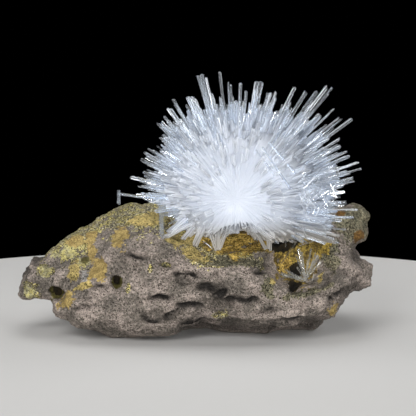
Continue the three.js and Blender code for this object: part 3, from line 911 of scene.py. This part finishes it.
plan = {name: [] for name in LAYERS}  # the crystals of each finish


def grow_crystal(kind, start, way, length, width, turn, shape=None, loose=False):
    """Adds a crystal to a plan if the stone leaves it room. Lengths are millimetres."""
    if not loose:
        length = capped(start, way, length, rng.uniform(-HEM_PLAY, HEM_PLAY))
    free = room(start, way, length, width)
    if free < SHORTEST:
        return
    number = rng.choice(SHAPE_PICKS) if shape is None else shape
    kind.append(Crystal(start, way, free, width, width * rng.uniform(*FLATNESS), turn, number, rng.random()))


def bundle(kind, way, reach, width, members, steps=STEPS):
    """Parallel prisms side by side, with stepped ends. way and reach place the longest tip."""
    root = HEART + SEAM * way.dot(SEAM) * reach * ROOT_DEPTH
    axis = HEART + way * reach - root
    length, axis = axis.length, axis.normalized()
    turn = rng.uniform(0, math.pi / 2)
    across, other = side_ways(axis, turn)
    for i in range(members):
        column, row = i % 2 - 0.5 * (members > 1), i // 2 - 0.5 * ((members - 1) // 2)
        gap = width * rng.uniform(*SPACING)
        foot = root + axis * length * HIDDEN + across * column * gap + other * row * gap
        reached = length * (rng.uniform(*steps) - HIDDEN)
        grow_crystal(kind, foot, axis, reached, width * rng.uniform(*WIDTHS), turn)


def spiral(count, jitter):
    """Directions spread evenly over a ball, each moved a little off its place."""
    for i in range(count):
        height = 1 - (2 * i + 1) / count
        ring = math.sqrt(1 - height * height)
        way = Vector((ring * math.cos(i * GOLDEN), ring * math.sin(i * GOLDEN), height))
        yield (way + Vector([rng.gauss(0, jitter) for _ in range(3)])).normalized()


for layer, (bundles, share, widths, members, kept) in LAYERS.items():
    for way in spiral(bundles, JITTER):
        ahead = way.dot(SEAM)
        chance = 1 - (1 - kept) * min(1, THINNING * max(0, ahead))
        if ahead < BARE and rng.random() < chance:
            reach = envelope(way) * rng.uniform(*share)
            bundle(plan[layer], way, reach, rng.uniform(*widths), rng.choice(members))
    print(f"{layer}: {len(plan[layer])} crystals")

# %% [markdown]
# ## The crystals that make the outline
#
# Some crystals stand out beyond the rest, and they are what the eye keeps of the ball's shape, so these
# are placed one by one: an angle off upright, a reach and a width. The wide ones are bundles of two
# or three.

# %% Outline crystals
OUTLINE = [  # degrees off upright, reach and width in millimetres
    (-83, 43, 2.1), (-75, 46, 1.5), (-71, 43, 2.4), (-65, 44, 2.1), (-61, 44, 2.4),
    (-42, 48, 2.4), (-35, 51, 2.1), (-31, 52, 2.2), (-24, 50, 3.2), (-16, 57, 2.8),
    (-13, 56, 1.5), (-7, 57, 1.3), (-3, 53, 1.7), (2, 52, 1.5), (5, 49, 1.3),
    (10, 53, 3.3), (17, 52, 1.9), (20, 51, 2.1), (26, 56, 1.3), (32, 56, 1.6),
    (35, 59, 1.3), (38, 63, 1.4), (40, 64, 1.5), (46, 58, 1.0), (50, 61, 1.9),
    (53, 61, 1.5), (57, 52, 1.4), (61, 53, 1.8), (66, 54, 2.3), (70, 55, 1.3),
    (74, 55, 1.1), (77, 53, 2.5), (82, 47, 2.4), (88, 47, 1.6), (93, 51, 1.8),
    (97, 50, 1.5), (103, 48, 1.6), (108, 46, 2.2),
]
OUTLINE_LEAN = 7  # degrees, to the front or the back
PAIR_FROM, TRIO_FROM = 1.7, 2.8  # widths from which a bundle has two and three prisms
OVERLAP = 1.75  # such a bundle's width for the width of one of its prisms
OUTLINE_STEPS = 0.93, 1.0

for tilt, reach, width in OUTLINE:
    way = aim(tilt, rng.uniform(-OUTLINE_LEAN, OUTLINE_LEAN))
    members = 1 + (width >= PAIR_FROM) + (width >= TRIO_FROM)
    single = members == 1
    each = width if single else width / OVERLAP
    bundle(plan["clear"], way, reach, each, members, (1, 1) if single else OUTLINE_STEPS)
print(f"{len(OUTLINE)} outline bundles")

# %% [markdown]
# ## Crystals out of line
#
# Some crystals don't point away from the heart: fans that stand on the basin's rim, prisms that pass in
# front of the right peak, strays that lean across the ball's front, and a long one that lies out to the
# left with a short one across its tip. These have a place of their own. A crowd of short crystals that
# lie across the others at the right has only a room to lie in.

# %% Fans and strays
FANS = [  # from, to, width, members
    ((-0.8, -31, 46.8), (-4.9, -36, 42.9), 1.5, 2),
    ((4.0, -29, 47.5), (-0.2, -36, 39.4), 1.2, 2),
    ((2.0, -29, 47.0), (-0.8, -35, 40.4), 1.0, 1),
    ((4.6, -28, 48.5), (9.0, -36, 37.9), 1.0, 2),
    ((9.0, -28, 48.5), (9.3, -36, 38.2), 1.2, 2),
    ((14.0, -28, 48.5), (9.6, -36, 38.0), 1.0, 2),
    ((6.7, -28, 46.2), (7.1, -34, 39.3), 0.5, 1),
    ((3.2, -31, 41.3), (7.3, -33, 38.3), 0.4, 1),
    ((16.3, -31, 48.3), (16.2, -35, 45.0), 1.9, 2),
    ((23.9, -28, 46.5), (29.2, -36, 38.1), 0.9, 2),
    ((30.4, -28, 46.5), (30.1, -35, 37.8), 1.1, 2),
    ((22.7, -35, 49.6), (32.8, -38, 42.8), 0.9, 2),
    ((23.1, -34, 48.0), (31.2, -37, 42.2), 0.7, 2),
    ((-14.2, -22, 57.5), (-13.4, -33, 42.5), 0.6, 3),
    ((-2.1, -28, 47.8), (-12.6, -34, 43.0), 1.2, 3),
    ((-4.0, -27, 50.0), (-11.0, -34, 45.0), 1.2, 3),
]
HAZY_FROM = 0.6  # fans wider than this are hazy
FRONT_RIGHT = [  # the longest of those that pass in front of the right peak
    ((51.0, -24, 53.2), (67.4, -18, 52.3), 0.9, 1),
    ((51.0, -26, 50.3), (65.9, -20, 49.4), 0.9, 2),
    ((53.0, -28, 46.2), (62.0, -24, 44.9), 0.6, 1),
]
STRAYS = [  # from, to, width, members, and for some a shape and a turn
    ((27.1, -33.0, 80.0), (39.1, -29.8, 62.1), 0.9, 2),
    ((30.1, -27.5, 81.5), (41.1, -28.6, 68.5), 0.9, 2),
    ((24.7, -33.0, 78.8), (33.2, -34.5, 67.2), 0.8, 1),
    ((-8, -2, 53), (-33, -2, 57), 0.8, 2, None, 0.6),
    ((-32.3, -2, 58.3), (-32.3, -2, 51.8), 1.4, 1, None, 0.6),
]
PACKING = 0.95  # distance of two prisms in a row, for their width
ROW_LENGTHS = 0.9, 1.0  # of its prisms, for the way from end to end


def lay(kind, start, end, width, members, shape=None, turn=0.0):
    """A row of parallel prisms from one place to another."""
    start, end = Vector(start), Vector(end)
    way, length = (end - start).normalized(), (end - start).length
    across, _ = side_ways(way)
    for i in range(members):
        shift = (i - (members - 1) / 2) * width * PACKING
        foot = start + across * shift
        grow_crystal(kind, foot, way, length * rng.uniform(*ROW_LENGTHS), width, turn, shape, loose=True)


for fan in FANS:
    lay(plan["hazy" if fan[2] > HAZY_FROM else "clear"], *fan)
for row in FRONT_RIGHT + STRAYS:
    lay(plan["clear"], *row)
print(f"{len(FANS)} fans and {len(STRAYS)} strays")

# %% Crossed crystals
LOW_RIGHT = 60  # bundles that pass in front of the right peak
LOW_TIPS = (52, -31, 39), (60, -22, 53)  # two corners of the room that their tips lie in
LOW_MIDDLE, LOW_ROOT = Vector((56, -26, 46)), Vector((30, -20, 50))  # middles of their tips and roots
LOW_SPREAD = 0.4  # of the roots, for that of the tips
LOW_KINDS, LOW_WIDTHS, LOW_MEMBERS = ("milky", "hazy", "clear", "clear"), (0.6, 1.1), (1, 2, 3)
CROSSED = 160  # tries for short crystals that lie across the others
CROSSED_FROM, CROSSED_TO = (42, -36, 46), (60, -16, 66)
SLANT, CROSSED_LENGTH, CROSSED_WIDTH = (35, 70), (4, 7), (0.4, 0.8)  # degrees, millimetres
CROSSED_LEAN = -0.3, 0.1  # more to the front than to the back
SKIN = 0.7, 0.98  # both ends lie between these shares of the envelope

for _ in range(LOW_RIGHT):
    tip = Vector([rng.uniform(a, b) for a, b in zip(*LOW_TIPS)])
    start = LOW_ROOT + (tip - LOW_MIDDLE) * LOW_SPREAD
    kind = plan[rng.choice(LOW_KINDS)]
    lay(kind, start, tip, rng.uniform(*LOW_WIDTHS), rng.choice(LOW_MEMBERS))
for i in range(CROSSED):
    start = Vector([rng.uniform(a, b) for a, b in zip(CROSSED_FROM, CROSSED_TO)])
    slant = math.radians(rng.choice((-1, 1)) * rng.uniform(*SLANT))
    way = Vector((math.cos(slant), rng.uniform(*CROSSED_LEAN), math.sin(slant)))
    end = start + way * rng.uniform(*CROSSED_LENGTH)
    shares = [(place - HEART).length / envelope((place - HEART).normalized()) for place in (start, end)]
    if min(shares) > SKIN[0] and max(shares) < SKIN[1]:
        lay(plan["clear" if i % 3 else "hazy"], start, end, rng.uniform(*CROSSED_WIDTH), 1)
print({name: len(crystals) for name, crystals in plan.items()}, "crystals in all")

# %% [markdown]
# ## The geometry tree that grows them
#
# The plan becomes a cloud of points, one for each crystal, and each point carries its crystal's
# direction, turn, size and shape as attributes, and a random number for its finish. The tree needs
# nothing else: it turns an instance of the right shape to the right direction on every point. The same
# tree makes the milky crystals, the clear ones and the needles in the pocket.

# %% Growth tree
def growth_tree():
    body = [("Geometry", "Geometry")]
    inputs = body + [("Shapes", "Collection"), ("Finish", "Material"), ("Thickness", "Float", 1.0)]
    graph, start, end = new_group("crystal_growth", "GeometryNodeTree", inputs, body)
    given = start.outputs
    way, size = graph.stored("way", "FLOAT_VECTOR"), graph.stored("size", "FLOAT_VECTOR")
    upright = graph.node("FunctionNodeAlignRotationToVector", {"Vector": way}, axis="Z")
    spin = graph.node("FunctionNodeAxisAngleToRotation", {"Axis": (0, 0, 1), "Angle": graph.stored("turn")})
    both = {"Rotation": upright.outputs[0], "Rotate By": spin.outputs[0]}
    turned = graph.node("FunctionNodeRotateRotation", both, rotation_space="LOCAL")
    picked = graph.node("GeometryNodeCollectionInfo", {
        "Collection": given["Shapes"], "Separate Children": True, "Reset Children": True})
    placed = graph.node("GeometryNodeInstanceOnPoints", {
        "Points": given["Geometry"], "Instance": picked.outputs[0], "Pick Instance": True,
        "Instance Index": graph.stored("shape", "INT"), "Rotation": turned.outputs[0],
        "Scale": graph.vector("MULTIPLY", size, graph.xyz(given["Thickness"], given["Thickness"], 1.0)),
    })
    real = graph.node("GeometryNodeRealizeInstances", {0: placed.outputs[0]})
    done = graph.node("GeometryNodeSetMaterial", {"Geometry": real.outputs[0], "Material": given["Finish"]})
    graph.fill(end, {0: done.outputs[0]})
    return graph.tree


GROWTH = growth_tree()


def grow(name, crystals, finish):
    """A plan of crystals, grown by the tree into one plain mesh."""
    mesh = bpy.data.meshes.new(name)
    mesh.from_pydata([crystal.start * MM for crystal in crystals], [], [])
    store(mesh, "way", [crystal.way for crystal in crystals], "FLOAT_VECTOR")
    store(mesh, "size", [np.array((c.width, c.depth, c.length)) * MM for c in crystals], "FLOAT_VECTOR")
    store(mesh, "turn", [crystal.turn for crystal in crystals])
    store(mesh, "shade", [crystal.shade for crystal in crystals])
    number = mesh.attributes.new("shape", "INT", "POINT")
    number.data.foreach_set("value", np.array([crystal.shape for crystal in crystals], np.int32))
    piece = add_object(name, mesh)
    growth = piece.modifiers.new("growth", "NODES")
    growth.node_group = GROWTH
    sockets = {item.name: item.identifier for item in GROWTH.interface.items_tree}
    growth[sockets["Shapes"]], growth[sockets["Finish"]] = shapes, finish
    settle(piece)
    print(f"{name}: {len(crystals)} crystals, {len(piece.data.polygons)} faces")
    return piece


# %% [markdown]
# ## Fibres
#
# Every finish of the crystal shows its growth as fine lines along its length. Noise that reads only the
# place across a crystal is the same all along it, so it draws exactly such lines. Each prism kept its own
# place across as an attribute when it was grown, and the random number it carries shifts the noise, so no
# two prisms match.

# %% Fibre group
FIBRE_SHIFT = 90.0  # how far apart in the noise two crystals can lie


def fibre_group():
    inputs = [("Across", "Vector"), ("Shade", "Float"), ("Fineness", "Float", 3.0)]
    graph, start, end = new_group("crystal_fibres", "ShaderNodeTree", inputs, [("Lightness", "Float")])
    given = start.outputs
    shift = graph.xyz(z=graph.times(given["Shade"], FIBRE_SHIFT))
    lines = graph.noise(graph.vector("ADD", given["Across"], shift), given["Fineness"])
    graph.fill(end, {"Lightness": graph.ramp(lines, 0.32, 0.68)})
    return graph.tree


FIBRES = fibre_group()


def fibres(graph, fineness, across=None):
    """The fibre group in a material's tree: its lines, and the crystal's own random number."""
    shade = graph.attribute("shade")
    if across is None:
        across = graph.vector("MULTIPLY", graph.attribute("across", "Vector"), (1, 1, 0))
    group = graph.group(FIBRES, {"Across": across, "Shade": shade, "Fineness": fineness})
    return group["Lightness"], shade


print("fibre group made")

# %% [markdown]
# ## Finishes of one mineral
#
# The heart is white, because its crystals are full of tiny bubbles. Further out its colour is painted a
# darker steel blue, which stands in for the dark room seen through the clearer crystals, and over the clay
# its
# underside carries painted shade: its tint turns darker and warmer. The clear crystals are glass: they bend
# what is behind them, mirror the soft boxes in their side faces, and take a little red out of what passes.

# %% Milky finish
REFRACTION = 1.51  # scolecite bends light about as much as window glass
CORE, MIDDLE, UNDERSIDE = colour("c9cfda"), colour("8d98a8"), colour("a39f98")
GLOW = HEART + Vector((-2.5, 0, 2))  # the tint goes by the distance from the seam, moved to here
MILK_DEPTH = 2.5 * MM  # how far light spreads in it before it comes out again
MILKINESS = 0.7  # share of the light that does so
BLUE = 22 * MM, 46 * MM  # between these distances from the seam the tint is painted a darker blue, for the dark room seen through, its fine lines come out of the glow, darker outward, and so do its greyer crystals, painted darker outward the same way
LINED = 15 * MM, 42 * MM  # its fine lines come out of the glow,
DULL = 16 * MM, 42 * MM  # and so do its greyer crystals
LOW = 52 * MM, 40 * MM  # between these heights the tint turns to the underside's painted shade, darker and warmer
FINENESS, RADIAL_FINENESS = 1.4, 3.0  # of the fibres, across a prism and round the seam
LINES_ROUND = 12, 12, 12  # the more, the finer the lines that run out from the seam
FIBRE_HEIGHT = 0.1 * MM


def white_material(name, haze, radial=False):
    """Milky crystal. haze is the share of the light that passes straight through."""
    material, graph, shader = new_material(name)
    where = graph.node("ShaderNodeTexCoord").outputs["Object"]
    out = graph.vector("SUBTRACT", where, GLOW * MM)
    ahead = graph.vector("SCALE", tuple(SEAM), graph.vector("DOT_PRODUCT", out, tuple(SEAM)))
    aside = graph.vector("SUBTRACT", out, ahead)
    radius = graph.vector("LENGTH", aside)  # from the seam, not from the heart
    around = graph.vector("MULTIPLY", graph.vector("NORMALIZE", aside), LINES_ROUND) if radial else None
    lines, shade = fibres(graph, RADIAL_FINENESS if radial else FINENESS, around)
    tint = graph.mix(graph.ramp(radius, *BLUE), CORE, MIDDLE)
    tint = graph.mix(graph.ramp(graph.height(where), *LOW), tint, UNDERSIDE)
    dark = graph.ramp(radius, *LINED, 1.0, 0.68)
    dull = graph.ramp(radius, *DULL, 0.95, 0.6)
    lift = graph.times(graph.ramp(lines, 0, 1, dark, 1.0), graph.ramp(shade, 0, 1, dull, 1.08))
    graph.fill(shader, {
        "Base Color": graph.shaded(tint, lift),
        "Roughness": graph.ramp(lines, 0, 1, 0.38, 0.22),
        "Normal": graph.bump(lines, 0.3, FIBRE_HEIGHT),
        "IOR": REFRACTION,
        "Transmission Weight": haze,
        "Subsurface Weight": MILKINESS,
        "Subsurface Radius": (1, 1, 1),
        "Subsurface Scale": MILK_DEPTH,
    })
    return material


print(f"the heart glows out to {BLUE[0] / MM:.0f} mm from its seam")

# %% Clear finish
CLEARNESS = 0.94  # share of the light that passes straight through


def clear_material(name, tint):
    material, graph, shader = new_material(name)
    lines, _ = fibres(graph, FINENESS)
    graph.fill(shader, {
        "Base Color": tint,
        "Roughness": graph.ramp(lines, 0, 1, 0.0, 0.06),
        "Normal": graph.bump(lines, 0.06, FIBRE_HEIGHT),
        "IOR": REFRACTION,
        "Transmission Weight": CLEARNESS,
    })
    return material


print("finishes ready")

# %% [markdown]
# ## The ball itself
#
# Behind the prisms the heart is a closed milky mass: so many crystals that none stands alone. Its mesh
# has its poles on the seam, at the front and the back, so that the fine steps pressed into it run
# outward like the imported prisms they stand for. It bulges most to the front, where few clear crystals
# stand before it, and it stops short of the basin just as the crystals do.

# %% Milky mass
MASS_SHARE, MASS_FRONT = 0.71, 0.78  # of the envelope, at the sides and at the front
AROUND, ALONG = 420, 110  # columns round the seam and rows from pole to pole
STEP_COLUMNS, STEP_ROWS = 3, 9  # of one step
STEP_HEIGHT = 0.9  # millimetres, outward or inward
SLIP_ROW, HEM_ROW = 7.5, 3.5  # rows of the cell noise that give each column its slip and its hem
MASS_DROP, DROP_PLAY = -1.0, 1.2  # a column's hem lies this much below the ball's, give or take this


def cell_noise(column, row):
    """A number from -1 to 1 that looks random, and is the same all over one cell of the noise."""
    return noise.cell(Vector((column, row, 0.5)))


def milky_mass(finish):
    shape = bmesh.new()
    bmesh.ops.create_uvsphere(shape, u_segments=AROUND, v_segments=ALONG, radius=1)
    turned = SEAM.to_track_quat("Z", "X")
    for vert in shape.verts:
        x, y, z = vert.co
        column = round(math.atan2(y, x) / math.tau * AROUND) // STEP_COLUMNS
        slip = cell_noise(column, SLIP_ROW) * STEP_ROWS
        row = (math.acos(max(-1, min(1, z))) / math.pi * ALONG + slip) // STEP_ROWS
        way = turned @ vert.co.normalized()
        share = MASS_SHARE + (MASS_FRONT - MASS_SHARE) * max(0, z) ** 2
        step = cell_noise(column + 0.5, row + 0.5)
        reach = envelope(way) * share + STEP_HEIGHT * step * math.hypot(x, y)
        reach = capped(HEART, way, reach, MASS_DROP + DROP_PLAY * cell_noise(column + 0.5, HEM_ROW))
        vert.co = (HEART + way * room(HEART, way, reach, 0)) * MM
    mesh = bpy.data.meshes.new("milky_mass")
    shape.to_mesh(mesh)
    shape.free()
    mesh.materials.append(finish)
    return add_object("milky_mass", mesh)


mass = milky_mass(white_material("milky_heart", 0.0, radial=True))
finishes = {
    "milky": white_material("milky_scolecite", 0.0),
    "hazy": white_material("hazy_scolecite", 0.4),
    "clear": clear_material("clear_scolecite", (0.76, 0.80, 0.85, 1)),
}
spray = [mass] + [grow(f"{layer}_prisms", plan[layer], finishes[layer]) for layer in plan]
for piece in spray:
    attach(piece, BODY)
    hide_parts("scolecite_spray")
    piece.visible_shadow = piece.name.startswith("milky")  # the others let the lamps through

# %% [markdown]
# ## The spray in the pocket
#
# Low in the side pocket a second, much smaller spray stands on the clay: sixteen blades and needles from
# one foot, and five that cross the pocket. Each is placed by its tip, because their pattern follows no
# rule, and tiny crystals are scattered round the foot.

# %% Pocket needles
FOOT = Vector((45.3, -28, 24.6))
BLADES = [  # tip, width
    ((34.0, -31, 28.0), 1.1), ((34.6, -31, 27.2), 0.8), ((37.5, -30, 28.3), 0.7), ((41.5, -30, 30.5), 0.7),
    ((41.1, -29, 35.4), 0.6), ((42.2, -27, 37.6), 1.1), ((43.4, -27, 36.4), 0.7), ((46.2, -29, 34.0), 0.6),
    ((47.8, -26, 38.2), 0.6), ((51.2, -27, 35.7), 1.1), ((52.1, -27, 32.8), 0.7), ((48.7, -30, 33.1), 0.7),
    ((38.6, -32, 26.5), 0.7), ((43.6, -29, 37.0), 0.7), ((36.0, -30, 29.6), 0.5), ((49.5, -28, 36.0), 0.5),
]
ACROSS = [  # from, to, width
    ((41.5, -24, 39.4), (35.2, -30, 31.7), 0.5), ((42.7, -25, 38.2), (49.2, -22, 40.0), 0.4),
    ((37.4, -22, 41.9), (37.3, -24, 37.5), 0.4), ((33.0, -33, 19.7), (38.7, -33, 21.6), 0.4),
    ((34.2, -32, 25.2), (37.5, -32, 21.2), 1.4),
]
BLADE_SHAPES, BLADE_TURNS = (0, 2, 3), (0.3, 1.2)
FOOT_CRYSTALS = 12  # tiny ones round the foot
FOOT_SPREAD = (0, 1.0), (0, 1.0), (-0.3, 0.3)  # mean and spread in x, y and z
FOOT_TILTS, FOOT_LEANS = (-80, 80), (0, 50)  # degrees off upright, and to the front
FOOT_LENGTHS, FOOT_WIDTHS = (3.2, 4.6), (0.3, 0.5)

needles, foot_crystals = [], []
for tip, width in BLADES:
    lay(needles, FOOT, tip, width, 1, rng.choice(BLADE_SHAPES), rng.uniform(*BLADE_TURNS))
for start, end, width in ACROSS:
    lay(needles, start, end, width, 1, 0)
for _ in range(FOOT_CRYSTALS):
    start = FOOT + Vector([rng.gauss(*spread) for spread in FOOT_SPREAD])
    way = aim(rng.uniform(*FOOT_TILTS), rng.uniform(*FOOT_LEANS))
    lay(foot_crystals, start, start + way * rng.uniform(*FOOT_LENGTHS), rng.uniform(*FOOT_WIDTHS), 1)
pocket_spray = [
    grow("pocket_needles", needles, clear_material("clear_needles", (0.62, 0.62, 0.59, 1))),
    grow("pocket_foot", foot_crystals, finishes["hazy"]),
]
for piece in pocket_spray:
    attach(piece, BODY)
    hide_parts("pocket_crystals")
    piece.visible_shadow = False
